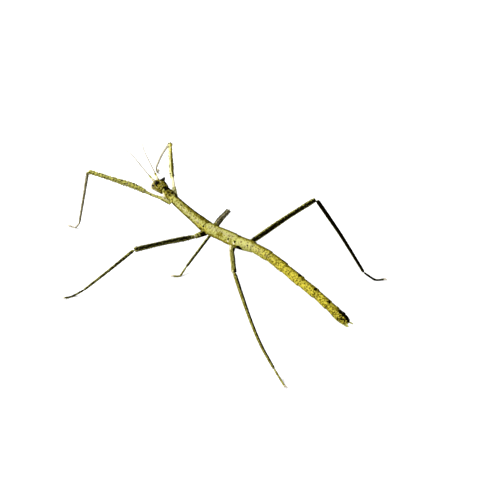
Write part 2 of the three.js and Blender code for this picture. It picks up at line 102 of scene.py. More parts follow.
def middle_of(node):
    """The middle of a node's box, in millimetres."""
    low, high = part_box(node)
    return np.array((low + high) / 2) / MM


# %% [markdown]
# ## Camera, floor and light
#
# The camera comes first, because every later look is seen through it. It stands behind the
# animal's left hind leg and looks down at a little over 35 degrees with a short telephoto lens. It
# is placed from the chest. The floor and the light are plain: a pale sheet, one broad lamp ahead of
# the animal on its left, and a soft sky that dims away from the lamp.

# %% Camera
CAMERA_AZIMUTH = 135.7 * DEG
CAMERA_ELEVATION = 35.7 * DEG
CAMERA_DISTANCE = 421.0
CAMERA_LENS = 77.8
CAMERA_SENSOR = 36
AIM_FROM_CHEST = np.array([-21.7, 9.97, -22.3])

camera_back = toward(CAMERA_AZIMUTH, CAMERA_ELEVATION)
aim = middle_of("mesothorax") + AIM_FROM_CHEST
camera = new_object("camera", bpy.data.cameras.new("camera"))
camera.data.lens = CAMERA_LENS
camera.data.sensor_width = CAMERA_SENSOR
camera.data.clip_start = 0.01
camera.location = Vector(aim + camera_back * CAMERA_DISTANCE) * MM
camera.rotation_euler = Vector(camera_back).to_track_quat("Z", "Y").to_euler()
bpy.context.scene.camera = camera
print("chest", middle_of("mesothorax").round(2), "aim", aim.round(2))

# %% Floor
FLOOR_SIZE = 12.0
FLOOR_COLOUR = (0.94, 0.94, 0.95, 1)


def finish(name, roughness, shine):
    material = bpy.data.materials.new(name)
    material.use_nodes = True
    shader = material.node_tree.nodes["Principled BSDF"]
    shader.inputs["Roughness"].default_value = roughness
    shader.inputs["Specular IOR Level"].default_value = shine
    return material, material.node_tree, shader


floor_shape = bmesh.new()
bmesh.ops.create_grid(floor_shape, x_segments=4, y_segments=4, size=FLOOR_SIZE / 2)
floor_mesh = bpy.data.meshes.new("floor")
floor_shape.to_mesh(floor_mesh)
floor_shape.free()
floor = new_object("floor", floor_mesh)
floor_finish, _, shader = finish("pale sheet", roughness=0.9, shine=0.1)
shader.inputs["Base Color"].default_value = FLOOR_COLOUR
floor_mesh.materials.append(floor_finish)
floor.visible_diffuse = False

# %% Light
SKY_BRIGHT = 2.0
SKY_DIM = 0.42
DIM_FROM = -0.6           # the sky is dimmest past this cosine from the lamp's side
HORIZON_SOFTNESS = 0.05
GROUND_GLOW = 0.3         # share of the sky's strength that a pale ground throws back
KEY_POWER = 9.0
KEY_SIZE = 0.5
KEY_DISTANCE = 0.9
KEY_ELEVATION = 40 * DEG
KEY_HEADING = 50 * DEG

bpy.context.scene.view_settings.view_transform = "Standard"


def add(tree, kind, inputs=(), **settings):
    """A new shader node: inputs are plain values or the sockets that feed them."""
    node = tree.nodes.new(kind)
    for name, value in settings.items():
        setattr(node, name, value)
    for socket, value in dict(inputs).items():
        if isinstance(value, bpy.types.NodeSocket):
            tree.links.new(value, node.inputs[socket])
        else:
            node.inputs[socket].default_value = value
    return node


def mapped(tree, value, low, high, start=0.0, end=1.0, way="SMOOTHSTEP"):
    """Start where the value is below low, end where it is above high, and a change between."""
    return add(tree, "ShaderNodeMapRange", {
        "Value": value, "From Min": low, "From Max": high, "To Min": start, "To Max": end,
    }, interpolation_type=way).outputs["Result"]


world = bpy.data.worlds.new("studio")
bpy.context.scene.world = world
world.use_nodes = True
sky = world.node_tree
background = sky.nodes["Background"]
direction = add(sky, "ShaderNodeTexCoord").outputs["Generated"]
lamp_side = Vector(toward(KEY_HEADING, 0))
side_on = add(sky, "ShaderNodeVectorMath", {0: direction, 1: lamp_side}, operation="DOT_PRODUCT")
gradient = mapped(sky, side_on.outputs["Value"], DIM_FROM, 1.0, SKY_DIM, SKY_BRIGHT)
glow = add(sky, "ShaderNodeMath", {0: gradient, 1: GROUND_GLOW}, operation="MULTIPLY").outputs[0]
height = add(sky, "ShaderNodeSeparateXYZ", {0: direction}).outputs["Z"]
strength = mapped(sky, height, -HORIZON_SOFTNESS, HORIZON_SOFTNESS, glow, gradient, way="LINEAR")
sky.links.new(strength, background.inputs["Strength"])
background.inputs["Color"].default_value = (1, 1, 1, 1)

key = new_object("key lamp", bpy.data.lights.new("key lamp", "AREA"))
key.data.energy = KEY_POWER
key.data.shape = "DISK"
key.data.size = KEY_SIZE
key_back = Vector(toward(KEY_HEADING, KEY_ELEVATION))
key.location = key_back * KEY_DISTANCE
key.rotation_euler = key_back.to_track_quat("Z", "Y").to_euler()
print("lamp at", [round(v, 2) for v in key.location])

# %% [markdown]
# ## Measuring the frame
#
# A walking stick is a bundle of gently bent tubes. Each frame part is cut by planes along its
# length, and every cut gives the tube's middle, width and depth there. A bent foot is cut twice: the
# second time square to the line that the first pass found, so that it is measured true.


# %% Cut a part into sections
def points_of(mesh):
    """The points of a mesh, in millimetres."""
    return np.array([vertex.co for vertex in mesh.vertices]) / MM


def triangles_of(node):
    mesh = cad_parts[node].data
    mesh.calc_loop_triangles()
    return points_of(mesh)[np.array([triangle.vertices for triangle in mesh.loop_triangles])]


def plane_cut(triangles, point, ahead):
    """Points where a plane crosses the edges of the triangles."""
    heights = (triangles - point) @ ahead
    cuts = []
    for first, second in ((0, 1), (1, 2), (2, 0)):
        before, after = heights[:, first], heights[:, second]
        crossed = before * after < 0
        share = (before[crossed] / (before[crossed] - after[crossed]))[:, None]
        start = triangles[crossed, first]
        cuts.append(start + share * (triangles[crossed, second] - start))
    return np.concatenate(cuts)


def cross_axes(ahead, up):
    """The sideways and upward unit vectors square to a heading."""
    side = unit(np.cross(ahead, up))
    return side, np.cross(side, ahead)


FAR, CLOSE = 9.0, 0.9        # how far from its point a cut may reach, on straight and on bent parts


def section(triangles, point, ahead, up, reach):
    """Middle, width and depth of the cut at a point."""
    cut = plane_cut(triangles, point, ahead)
    cut = cut[np.linalg.norm(cut - point, axis=1) < reach]
    side, top = cross_axes(ahead, up)
    across, upward = (cut - point) @ side, (cut - point) @ top
    centre = point + side * (across.max() + across.min()) / 2 + top * (upward.max() + upward.min()) / 2
    return centre, np.ptp(across), np.ptp(upward)


def measure(node, way, up, shares, bent=False, stubby=False):
    """Centres, widths and depths of a node at shares of its length. A bent part is cut twice."""
    triangles = triangles_of(node)
    points = triangles.reshape(-1, 3)
    middle = points.mean(0)
    axis = np.linalg.svd(points - middle, full_matrices=False)[2][0]
    axis = unit(way) if stubby else axis * np.sign(axis @ way)
    along = (points - middle) @ axis
    starts = [middle + axis * (along.min() + share * np.ptp(along)) for share in shares]
    cuts = [section(triangles, start, axis, up, FAR) for start in starts]
    if bent:
        centres = np.array([cut[0] for cut in cuts])
        headings = unit(np.gradient(centres, axis=0))
        cuts = [section(triangles, c, h, up, CLOSE) for c, h in zip(centres, headings)]
    return [np.array([cut[column] for cut in cuts]) for column in range(3)]


# %% A smooth line through the sections
def smooth_through(knots, values):
    """A cubic through the values at the knots, going straight on past both ends."""
    slopes = np.gradient(values, knots, axis=0)

    def at(places):
        held = np.clip(places, knots[0], knots[-1])
        lower = np.clip(np.searchsorted(knots, held) - 1, 0, len(knots) - 2)
        step = knots[lower + 1] - knots[lower]
        share = ((held - knots[lower]) / step)[:, None]
        step = step[:, None]
        inner = (
            (2 * share**3 - 3 * share**2 + 1) * values[lower]
            + (share**3 - 2 * share**2 + share) * step * slopes[lower]
            + (3 * share**2 - 2 * share**3) * values[lower + 1]
            + (share**3 - share**2) * step * slopes[lower + 1]
        )
        ends = np.where((places < knots[0])[:, None], slopes[0], slopes[-1])
        return inner + ends * (places - held)[:, None]

    return at


class Guide:
    """A measured middle line with the full width and depth along it."""

    def __init__(self, centres, wide, deep, up):
        self.places = np.concatenate([[0], np.cumsum(np.linalg.norm(np.diff(centres, axis=0), axis=1))])
        self.run = self.places[-1]
        self.centre = smooth_through(self.places, np.array(centres))
        self.sizes = np.column_stack([wide, deep])
        self.up = up

    def axes(self, places):
        step = 0.1
        ahead = unit(self.centre(places + step) - self.centre(places - step))
        side, top = cross_axes(ahead, self.up)
        return ahead, side, top

    def size(self, places):
        held = np.clip(places, 0, self.run)
        return [np.interp(held, self.places, self.sizes[:, column]) for column in (0, 1)]

    def surface(self, places, angles, relief=None, swell=1.0):
        """Points on the tube: angle 0 is its top, and angles grow towards its left side."""
        centre = self.centre(places)
        _, side, top = self.axes(places)
        wide, deep = self.size(places)
        spoke = side * (np.sin(angles) * wide / 2)[:, None] + top * (np.cos(angles) * deep / 2)[:, None]
        radius = np.linalg.norm(spoke, axis=1)
        lifted = radius if relief is None else radius + relief(places, angles, centre + spoke)
        return centre + spoke * (swell * lifted / radius)[:, None]


def guide_along(node, way, up, shares, bent=False):
    """The guide of a frame part."""
    return Guide(*measure(node, way, up, shares, bent), up)


# %% [markdown]
# ## Rolling a tube
#
# Every length of the body is a flat grid rolled up: one edge runs along the part and the other runs
# round it. A grid keeps clean rows of faces, so ridges can follow the rows and rings can be packed
# closer wherever a joint needs them. The seam is merged afterwards and both ends are drawn to a point.


# %% Roll a grid into a tube
parts = []
tubes = {}


def ring_places(start, end, step, joints=(), close=0.07, near=0.5):
    """Places for rings, packed closer round each joint."""
    marks = list(np.arange(start, end, step)) + [end]
    for joint in joints:
        marks = [mark for mark in marks if abs(mark - joint) > near]
        marks += list(np.arange(joint - near, joint + near, close))
    return np.array(sorted(mark for mark in marks if start <= mark <= end))


def rolled(name, guide, rings, sides, relief=None, caps=(0.6, 0.6), joints=(), floor_cut=False):
    """A closed tube along a guide. Its rings have a start, a way past the guide's end and a step."""
    start, past, step = rings
    places = ring_places(start, guide.run + past, step, joints)
    shape = bmesh.new()
    bmesh.ops.create_grid(shape, x_segments=len(places) - 1, y_segments=sides, size=0.5)
    grid = np.array([vertex.co for vertex in shape.verts])
    rows = np.rint((grid[:, 0] + 0.5) * (len(places) - 1)).astype(int)
    spot = places[rows]
    turn = (grid[:, 1] + 0.5) * 2 * math.pi
    from_start = np.clip((spot - places[0]) / caps[0], 0, 1)
    from_end = np.clip((places[-1] - spot) / caps[1], 0, 1)
    swell = np.sqrt(1 - (1 - from_start) ** 2) * np.sqrt(1 - (1 - from_end) ** 2)
    points = guide.surface(spot, turn, relief, swell)
    if floor_cut:
        points[:, 2] = np.maximum(points[:, 2], 0)
    layers = [shape.verts.layers.float.new(label) for label in ("part", "place", "turn")]
    for vertex, point, *facts in zip(shape.verts, points, spot, turn):
        vertex.co = point * MM
        for layer, fact in zip(layers, [len(parts) + 1, *facts]):
            vertex[layer] = fact
    parts.append(name)
    tubes[name] = (guide, relief)
    bmesh.ops.remove_doubles(shape, verts=shape.verts, dist=1e-7)
    bmesh.ops.recalc_face_normals(shape, faces=shape.faces)
    return finished(name, shape)


def finished(name, shape):
    """Writes a bmesh into a new smooth object."""
    mesh = bpy.data.meshes.new(name)
    shape.to_mesh(mesh)
    shape.free()
    mesh.shade_smooth()
    return new_object(name, mesh)


def wrinkles(points, size):
    """Smooth noise from -1 to 1 at each point, with lumps about size across."""
    return np.array([noise.noise(Vector(point) / size) for point in points])


# %% [markdown]
# ## Trunk
#
# The trunk is three chest rings and nine abdomen rings on one bent line. It is drawn as a single
# tube, so nothing shows where one frame part ends and the next begins; the real rings show instead,
# as a raised hind rim and a fine groove at each joint. A low keel runs down the back, and two lower
# ones run down each side.

# %% Measure the trunk
RINGS = ["prothorax", "mesothorax", "metathorax"] + [f"abdomen_{number}" for number in range(2, 11)]
TAILWARD = np.array([0.0, 1.0, 0.0])
LONG_SHARES = (0.03, 0.08, 0.15, 0.3, 0.5, 0.65, 0.8, 0.92, 0.97)
SHORT_SHARES = (0.07, 0.18, 0.5, 0.84, 0.93)

columns, joint_marks = ([], [], []), []
for number, ring in enumerate(RINGS):
    shares = LONG_SHARES if ring in ("mesothorax", "metathorax") else SHORT_SHARES
    before, after = RINGS[max(number - 1, 0)], RINGS[min(number + 1, len(RINGS) - 1)]
    along = middle_of(after) - middle_of(before)
    joint_marks.append(len(columns[0]))
    for column, values in zip(columns, measure(ring, along, UP, shares, stubby=True)):
        column.extend(values)
trunk = Guide(*columns, UP)
joints = [(trunk.places[mark - 1] + trunk.places[mark]) / 2 for mark in joint_marks[1:]]
ring_start = dict(zip(RINGS, [0.0] + joints))

# %% Shape the trunk
RIM = 0.13           # how far an abdomen ring's hind rim stands up
GROOVE = 0.1         # how deep the joint behind it is
KEEL = 0.12          # the keel down the back
SIDE_KEEL = 0.07
SIDE_KEEL_TURNS = (68, 128)
WRINKLE = 0.07


def trunk_relief(places, angles, points):
    lift = np.zeros(len(places))
    for joint in joints:
        lift += RIM * hump(places - joint + 0.32, 0.3)
        lift -= GROOVE * hump(places - joint - 0.02, 0.11)
    chest = ramp(places, ring_start["mesothorax"], ring_start["mesothorax"] + 1.5)
    turned = wrapped(angles)
    lift += KEEL * chest * hump(turned, 0.09)
    for side in SIDES.values():
        for turn in SIDE_KEEL_TURNS:
            lift += SIDE_KEEL * chest * hump(turned - side * turn * DEG, 0.1)
    lift += WRINKLE * wrinkles(points, 0.9) + 0.5 * WRINKLE * wrinkles(points, 0.35)
    return lift


TRUNK_RINGS, TRUNK_SIDES = (-1.2, 0.35, 0.24), 60
trunk_piece = rolled("trunk", trunk, TRUNK_RINGS, TRUNK_SIDES, trunk_relief, (1.2, 0.9), joints)
print("trunk faces", len(trunk_piece.data.polygons))

# %% [markdown]
# ## Head
#
# The head is a tube too, but its shape is in the details: an eye on each side with a rim round it,
# a raised collar where each feeler stands, two swellings that carry the horns, a jaw on each side of
# the mouth and fine furrows over the back. Each detail lifts or sinks the tube near one point, so the
# rows of faces stay whole. The head gets closer rings than the trunk, because people look there first.

# %% Measure the head
HEAD_SHARES = (0.04, 0.09, 0.15, 0.24, 0.35, 0.46, 0.57, 0.68, 0.78, 0.87, 0.94, 0.97)
head = guide_along("head", TAILWARD, UP, HEAD_SHARES)
eyes = {side: middle_of(f"eye_{side}") for side in SIDES}
eye_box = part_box("eye_left")
EYE_RADIUS = (eye_box[1][1] - eye_box[0][1]) / 2 / MM
horn_roots = {}
socket_spots = {}
for side in SIDES:
    horn_low = np.array(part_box(f"horn_{side}")[0]) / MM
    horn_roots[side] = np.array([*middle_of(f"horn_{side}")[:2], horn_low[2]])
    scape_points = triangles_of(f"scape_{side}").reshape(-1, 3)
    socket_spots[side] = scape_points[scape_points[:, 1] > scape_points[:, 1].max() - 0.6].mean(0)
print("head run", round(head.run, 2), "eye radius", round(EYE_RADIUS, 2))

# %% Shape the head
EYE_RIM = 0.13
EYE_HOLLOW = 0.12
SOCKET_COLLAR = 0.22
HORN_SWELLING = 0.35
FURROW = 0.07
BACK_FURROW_TURN, CHEEK_FURROW_TURN = 32, 118
MANDIBLE = 0.3
JAW_PLACE, JAW_TURN = 0.9, 128 * DEG
LIP_GROOVE, NECK_GROOVE = 0.1, 0.16

jaw_spots = {
    side: head.surface(np.array([JAW_PLACE]), np.array([sign * JAW_TURN]))[0]
    for side, sign in SIDES.items()
}


def near(points, spot, width):
    return hump(np.linalg.norm(points - spot, axis=1), width)


def head_relief(places, angles, points):
    turned = wrapped(angles)
    back = ramp(places, head.run * 0.55, head.run * 0.7)
    lift = 0.04 * wrinkles(points, 0.7) + 0.025 * wrinkles(points, 0.3)
    for side, sign in SIDES.items():
        from_eye = np.linalg.norm(points - eyes[side], axis=1)
        lift += EYE_RIM * hump(from_eye - EYE_RADIUS * 1.12, 0.14)
        lift -= EYE_HOLLOW * hump(from_eye, EYE_RADIUS * 0.9)
        lift += SOCKET_COLLAR * near(points, socket_spots[side], 0.55)
        lift += HORN_SWELLING * near(points, horn_roots[side], 0.9)
        lift -= FURROW * back * hump(turned - sign * BACK_FURROW_TURN * DEG, 0.08)
        cheek = ramp(-places, -5.5, -1.0)
        lift -= FURROW * hump(turned - sign * CHEEK_FURROW_TURN * DEG, 0.07) * cheek
        lift += MANDIBLE * near(points, jaw_spots[side], 0.6)
    lift -= FURROW * back * hump(turned, 0.07)
    lift -= LIP_GROOVE * hump(places - 1.1, 0.12)
    lift -= NECK_GROOVE * hump(places - head.run + 0.55, 0.28)
    return lift


HEAD_RINGS, HEAD_SIDES = (-0.25, 0.9, 0.13), 72
flesh = [rolled("head", head, HEAD_RINGS, HEAD_SIDES, head_relief, caps=(0.75, 0.9))]

# %% Lip and palps
MOUTH_TUBES = {              # length of the rounded ends, and faces round the tube
    "labrum": (0.4, 16), "palp_left": (0.25, 12), "palp_right": (0.25, 12),
}
for node, (cap, sides) in MOUTH_TUBES.items():
    guide = guide_along(node, -TAILWARD, UP, (0.25, 0.45, 0.65, 0.85, 0.97))
    flesh.append(rolled(node, guide, (-0.8, 0.08, 0.08), sides, caps=(cap, cap)))

# %% [markdown]
# ## Feelers
#
# A feeler starts with a stout scape, which swells at its end into the small pedicel. It goes on as
# a whip of many tiny beads, thinner than the frame's own whip. The beads are a ripple in the tube's
# thickness.

# %% Feelers
WHIP_THICK = (0.5, 0.28)
SCAPE_SWELL = ((0, 0.5, 0.75, 1), (1.5, 1.05, 1.1, 1.4))     # shares of its length, and swelling
BEAD_RUN, BEAD_RISE = 0.62, 0.02


def beads(places, angles, points):
    return BEAD_RISE * np.cos(2 * math.pi * places / BEAD_RUN) ** 4


for side in SIDES:
    scape_node, whip_node = f"scape_{side}", f"flagellum_{side}"
    forward = middle_of(whip_node) - middle_of(scape_node)
    scape = guide_along(scape_node, forward, UP, (0.25, 0.4, 0.55, 0.7, 0.85, 0.97))
    scape.sizes *= np.interp(scape.places / scape.run, *SCAPE_SWELL)[:, None]
    flesh.append(rolled(f"scape {side}", scape, (-1.0, 0.1, 0.1), 20, caps=(0.4, 0.3)))
    whip = guide_along(whip_node, forward, UP, (0.01, 0.2, 0.4, 0.6, 0.8, 0.99))
    taper = np.linspace(*WHIP_THICK, len(whip.places))
    whip.sizes = np.column_stack([taper, taper])
    flesh.append(rolled(f"whip {side}", whip, (-0.6, 0, BEAD_RUN / 6), 10, beads, caps=(0.3, 0.2)))

# %% [markdown]
# ## Legs
#
# Each leg is a coxa at the body, a keeled femur, a thin tibia and a bent foot. A real femur is a
# hollow beam with sharp keels, so its tube is lifted along a few lines, and low teeth run along its
# top and its sides. The front femora have the tallest teeth and swell beyond their thin base. At the
# knee, two lobes of the femur's end stand out on both sides of the tibia.

# %% Measure one leg
LIMB_SHARES = (0.01, 0.05, 0.1, 0.16, 0.22, 0.3, 0.4, 0.5, 0.6, 0.7, 0.8, 0.88, 0.94, 0.99)
TIBIA_SHARES = (0.04, 0.08, 0.14, 0.2, 0.27, 0.4, 0.5, 0.6, 0.7, 0.8, 0.9, 0.99)
FOOT_SHARES = (0.1, 0.18, 0.26, 0.34, 0.42, 0.5, 0.58, 0.66, 0.74, 0.82, 0.9, 0.98)
LEGS = [f"{pair}_{side}" for pair in ("front", "middle", "hind") for side in SIDES]


def straight(points):
    return unit(points[-1] - points[0])


def leg_lines(leg):
    """Guides for the femur, tibia and foot, with the outer side of the bent knee as their top."""
    coxa, thigh, shin, foot, claws = (
        middle_of(f"{leg}_{part}") for part in ("coxa", "femur", "tibia", "tarsus", "claws")
    )
    thigh_line = measure(f"{leg}_femur", thigh - coxa, UP, LIMB_SHARES)[0]
    shin_line = measure(f"{leg}_tibia", foot - shin, UP, TIBIA_SHARES)[0]
    outer = unit(straight(thigh_line) - straight(shin_line))
    return (
        guide_along(f"{leg}_femur", thigh - coxa, outer, LIMB_SHARES),
        guide_along(f"{leg}_tibia", foot - shin, outer, TIBIA_SHARES),
        guide_along(f"{leg}_tarsus", claws - foot, UP, FOOT_SHARES, bent=True),
    )


# %% Shape one leg
COXA_THICK = {"front": 1.7, "middle": 1.9, "hind": 1.9}
COXA_SHARES = (1.35, 1.15, 0.95)     # at the body, halfway and at the hip
FEMUR_KEELS = (0, 62, -62, 125, -125)
TIBIA_KEELS = (0, 90, -90, 180)
TEETH = {"front": 0.26, "middle": 0.08, "hind": 0.08}
TEETH_EVERY = 1.15
FLANGE = 0.14         # the rim at a limb's base
FEMUR_LOBE, TIBIA_LOBE = 0.3, 0.15       # on the top of a middle leg
KNEE_LOBE = 0.26
SWELL = {"front_left": 0.2, "front_right": 0.08}
SWELL_START, SWELL_END = (5.6, 7.2), (-22, -11)
COXA_RINGS, FEMUR_RINGS = (0, 0, 0.15), (-0.35, 0.12, 0.23)
TIBIA_RINGS, FOOT_RINGS = (-1.0, 0.15, 0.25), (-0.9, 0.1, 0.11)


def limb_relief(guide, keels, height, teeth=0.0, lobe=0.0, knee=0.0, swell=0.0):
    """Keels at the given turns, teeth on the top and sides, lobes near the base and at the knee."""
    def relief(places, angles, points):
        turned = wrapped(angles)
        whole = ramp(places, 0, 1.5) * ramp(-places, -guide.run, -guide.run + 1.0)
        lift = 0.05 * wrinkles(points, 0.6) + 0.025 * wrinkles(points, 0.22)
        for keel in keels:
            lift += height * whole * hump(wrapped(angles - keel * DEG), 0.16)
        from_side = np.abs(turned) - math.pi / 2
        saw = np.mod(places / TEETH_EVERY, 1) ** 2
        lift += teeth * whole * saw * (hump(turned, 0.2) + hump(from_side, 0.25))
        lift += lobe * hump(places - guide.run * 0.2, 0.8) * hump(turned, 0.3)
        lift += FLANGE * hump(places - 0.35, 0.3)
        lift += swell * ramp(places, *SWELL_START) * ramp(-places, *SWELL_END)
        lift += knee * hump(places - guide.run + 0.5, 0.6) * hump(from_side, 0.6)
        return lift
    return relief


leg_guides = {}
for leg in LEGS:
    pair = leg.split("_")[0]
    lobed = pair == "middle"
    femur, tibia, tarsus = leg_guides[leg] = leg_lines(leg)
    hip = femur.centre(np.array([0.0]))[0]
    coxa_middle = middle_of(f"{leg}_coxa")
    inward = unit(coxa_middle - hip)
    coxa_ends = np.array([coxa_middle + inward * 2.4, coxa_middle, hip - inward * 0.2])
    coxa_sizes = COXA_THICK[pair] * np.array(COXA_SHARES)
    coxa = Guide(coxa_ends, coxa_sizes, coxa_sizes, UP)
    femur_shape = limb_relief(
        femur, FEMUR_KEELS, 0.1, teeth=TEETH[pair], lobe=FEMUR_LOBE * lobed, knee=KNEE_LOBE,
        swell=SWELL.get(leg, 0.0),
    )
    tibia_shape = limb_relief(tibia, TIBIA_KEELS, 0.07, lobe=TIBIA_LOBE * lobed)
    flesh += [
        rolled(f"{leg} coxa", coxa, COXA_RINGS, 24, caps=(0.6, 0.5)),
        rolled(f"{leg} femur", femur, FEMUR_RINGS, 26, femur_shape, caps=(0.5, 0.5)),
        rolled(f"{leg} tibia", tibia, TIBIA_RINGS, 20, tibia_shape, caps=(0.5, 0.35)),
        rolled(f"{leg} tarsus", tarsus, FOOT_RINGS, 14, caps=(0.4, 0.25), floor_cut=True),
    ]

# %% Tail plate and cerci
for node in ("operculum", "cercus_left", "cercus_right"):
    guide = guide_along(node, TAILWARD, UP, (0.2, 0.4, 0.6, 0.8, 0.97))
    flesh.append(rolled(node, guide, (-0.9, 0.08, 0.1), 18, caps=(0.3, 0.25)))
print("tubes besides the trunk", len(flesh))

# %% [markdown]
# ## One skin
#
# All the tubes are joined into one closed surface by a union, which removes what lies inside. The
# sharp lines where two tubes meet are then relaxed, as soft skin would be.

# %% Join the tubes
TINY = 0.003
MEET_REACH = 2
MEET_ROUNDS = 4

others = bpy.data.collections.new("others")
for piece in flesh:
    bpy.context.scene.collection.objects.unlink(piece)
    others.objects.link(piece)
union = trunk_piece.modifiers.new("join", "BOOLEAN")
union.operation = "UNION"
union.solver = "MANIFOLD"
union.operand_type = "COLLECTION"
union.collection = others
depsgraph = bpy.context.evaluated_depsgraph_get()
joined = bpy.data.meshes.new_from_object(trunk_piece.evaluated_get(depsgraph))
trunk_piece.modifiers.remove(union)
for piece in flesh:
    bpy.data.objects.remove(piece)
bpy.data.collections.remove(others)
trunk_piece.data = joined
trunk_piece.name = "skin"
skin = trunk_piece
print("skin faces", len(joined.polygons), "points", len(joined.vertices))

# %% Relax the lines where tubes meet
shape = bmesh.new()
shape.from_mesh(joined)
bmesh.ops.dissolve_degenerate(shape, dist=TINY * MM, edges=shape.edges)
part_layer = shape.verts.layers.float["part"]
meeting = {vertex for vertex in shape.verts if vertex[part_layer] == 0}
print("points where tubes meet", len(meeting))
for _ in range(MEET_REACH):
    meeting |= {edge.other_vert(vertex) for vertex in meeting for edge in vertex.link_edges}
for _ in range(MEET_ROUNDS):
    bmesh.ops.smooth_vert(
        shape, verts=list(meeting), factor=0.5, use_axis_x=True, use_axis_y=True, use_axis_z=True
    )
print("open edges", sum(not edge.is_manifold for edge in shape.edges))
shape.to_mesh(joined)
shape.free()
joined.shade_smooth()

# %% [markdown]
# ## Eyes, horns and claws
#
# The hard parts stay separate pieces, because they have their own gloss. An eyeball is dark in its
# middle and pale at its rim, a horn is a short rough cone, and each foot ends in two claws and a pad.

# %% Eyes
def ball(name, centre, radius, rings=24):
    shape = bmesh.new()
    bmesh.ops.create_uvsphere(shape, u_segments=2 * rings, v_segments=rings, radius=radius * MM)
    bmesh.ops.translate(shape, verts=shape.verts, vec=Vector(centre) * MM)
    return finished(name, shape)


EYE_SHARE = 0.97       # of the frame's eye, so that the ball stays within it
eye_pieces = {side: ball(f"eye_{side}", eyes[side], EYE_RADIUS * EYE_SHARE) for side in SIDES}

# %% A pale rim round the dark middle of each eye
DARK_MIDDLE = (34, 48)       # degrees from the eye's outer pole: dark within, pale beyond
EYE_POLE = (0.8, 0.25, 0.5)


def write_mark(mesh, label, values):
    """A number for each point of a mesh, which a finish can read by its label."""
    mark = mesh.attributes.new(label, "FLOAT", "POINT")
    mark.data.foreach_set("value", values.astype(np.float32))


for side, sign in SIDES.items():
    mesh = eye_pieces[side].data
    pole = unit(np.array(EYE_POLE) * (sign, 1, 1))
    from_pole = np.arccos(np.clip(unit(points_of(mesh) - eyes[side]) @ pole, -1, 1)) / DEG
    write_mark(mesh, "rim", ramp(from_pole, *DARK_MIDDLE))

# %% Horns
HORN_GRAIN = 0.05


def horn_relief(places, angles, points):
    return HORN_GRAIN * wrinkles(points, 0.25)


horn_pieces = {}
for side in SIDES:
    node = f"horn_{side}"
    guide = guide_along(node, UP, -TAILWARD, (0.35, 0.5, 0.65, 0.8, 0.97))
    horn_pieces[side] = rolled(node, guide, (-1.2, 0.05, 0.07), 20, horn_relief, caps=(0.3, 0.3))

# %% Claws
CLAW_RUN, CLAW_SPREAD = 1.2, 0.38
CLAW_PATH = ((0, 0.3, 0), (0.4, 0.9, 0.12), (0.75, 1.4, 0.06), (1, 1.6, -0.14))     # ahead, aside, up
CLAW_RINGS, PAD_RINGS = (-0.1, 0, 0.1), (0, 0, 0.08)
claw_shapes = []
for leg in LEGS:
    tarsus = leg_guides[leg][2]
    tip = tarsus.centre(np.array([tarsus.run]))[0]
    ahead = straight(tarsus.centre(np.array([tarsus.run - 0.8, tarsus.run])))
    ahead = unit(ahead * np.array([1, 1, 0]))
    across = np.cross(ahead, UP)
    for sign in SIDES.values():
        spread = across * sign * CLAW_SPREAD
        path = [
            tip + ahead * CLAW_RUN * far + spread * aside + UP * rise for far, aside, rise in CLAW_PATH
        ]
        guide = Guide(path, [0.3, 0.28, 0.22, 0.08], [0.34, 0.3, 0.22, 0.08], UP)
        claw = rolled(f"{leg} claw", guide, CLAW_RINGS, 8, caps=(0.1, 0.1), floor_cut=True)
        claw_shapes.append(claw)
    pad_path = np.array([tip - ahead * 0.2, tip + ahead * 0.25, tip + ahead * 0.55 - UP * 0.05])
    pad = Guide(pad_path, [0.5, 0.6, 0.4], [0.5, 0.5, 0.3], UP)
    claw_shapes.append(rolled(f"{leg} pad", pad, PAD_RINGS, 12, caps=(0.2, 0.2), floor_cut=True))

shape = bmesh.new()
for piece in claw_shapes:
    shape.from_mesh(piece.data)
    bpy.data.objects.remove(piece)
claws_piece = finished("claws", shape)

# %% [markdown]
# ## Markings
#
# Each point of the skin still knows which tube it came from, how far along the tube it lies and how
# far round. The markings are painted with those three numbers: a band is a range of turns, a spot is
# a soft oval at one place and turn. The points made where two tubes meet take the numbers of their
# nearest neighbour. Every kind of mark is one layer of numbers that the skin's finish reads. In a
# layer, the strongest mark at a point wins.
# Some bands are painted shade or painted light: the darker right edges of trunk and head, the dark sides
# near the coxae, and the lit and unlit sides of some limbs.

# %% Where each point of the skin lies
facts = {}
for label in ("part", "place", "turn"):
    values = np.zeros(len(skin.data.vertices), dtype=np.float32)
    skin.data.attributes[label].data.foreach_get("value", values)
    facts[label] = values
skin_points = points_of(skin.data)
known = np.flatnonzero(facts["part"] > 0)
tree = kdtree.KDTree(len(known))
for index in known:
    tree.insert(skin_points[index], index)
tree.balance()
for index in np.flatnonzero(facts["part"] == 0):
    nearest = tree.find(skin_points[index])[1]
    for values in facts.values():
        values[index] = values[nearest]
part_numbers = {name: index + 1 for index, name in enumerate(parts)}
print("points that took a neighbour's place", len(skin_points) - len(known))

# %% Soft bands and spots
GIRTHS = {"trunk": 2.1, "head": 2.4}
LIMB_GIRTH = 0.8


def on(part):
    return facts["part"] == part_numbers[part]


def apart(turn):
    """How far each point is from a turn in degrees, from -pi to pi."""
    return wrapped(facts["turn"] - turn * DEG)


def spot(part, place, turn, along, around):
    """A soft oval mark. Its half sizes are in millimetres."""
    girth = GIRTHS.get(part, LIMB_GIRTH)
    off = np.hypot((facts["place"] - place) / along, apart(turn) * girth / around)
    return on(part) * ramp(-off, -1.35, -0.65)


def band(part, start, end, turn, half, fade=0.8, edge=16):
    """A soft strip along a tube: from one place to another, half degrees to each side of a turn."""
    place = facts["place"]
    inside = ramp(place, start - fade, start + fade) * ramp(-place, -end - fade, -end + fade)
    return on(part) * inside * ramp(-np.abs(apart(turn)) / DEG, -half - edge, -half + edge)


def layer(*marks):
    """The strongest of the marks at each point. A mark is a strength and a soft shape."""
    return np.max([strength * shape for strength, shape in marks], axis=0)


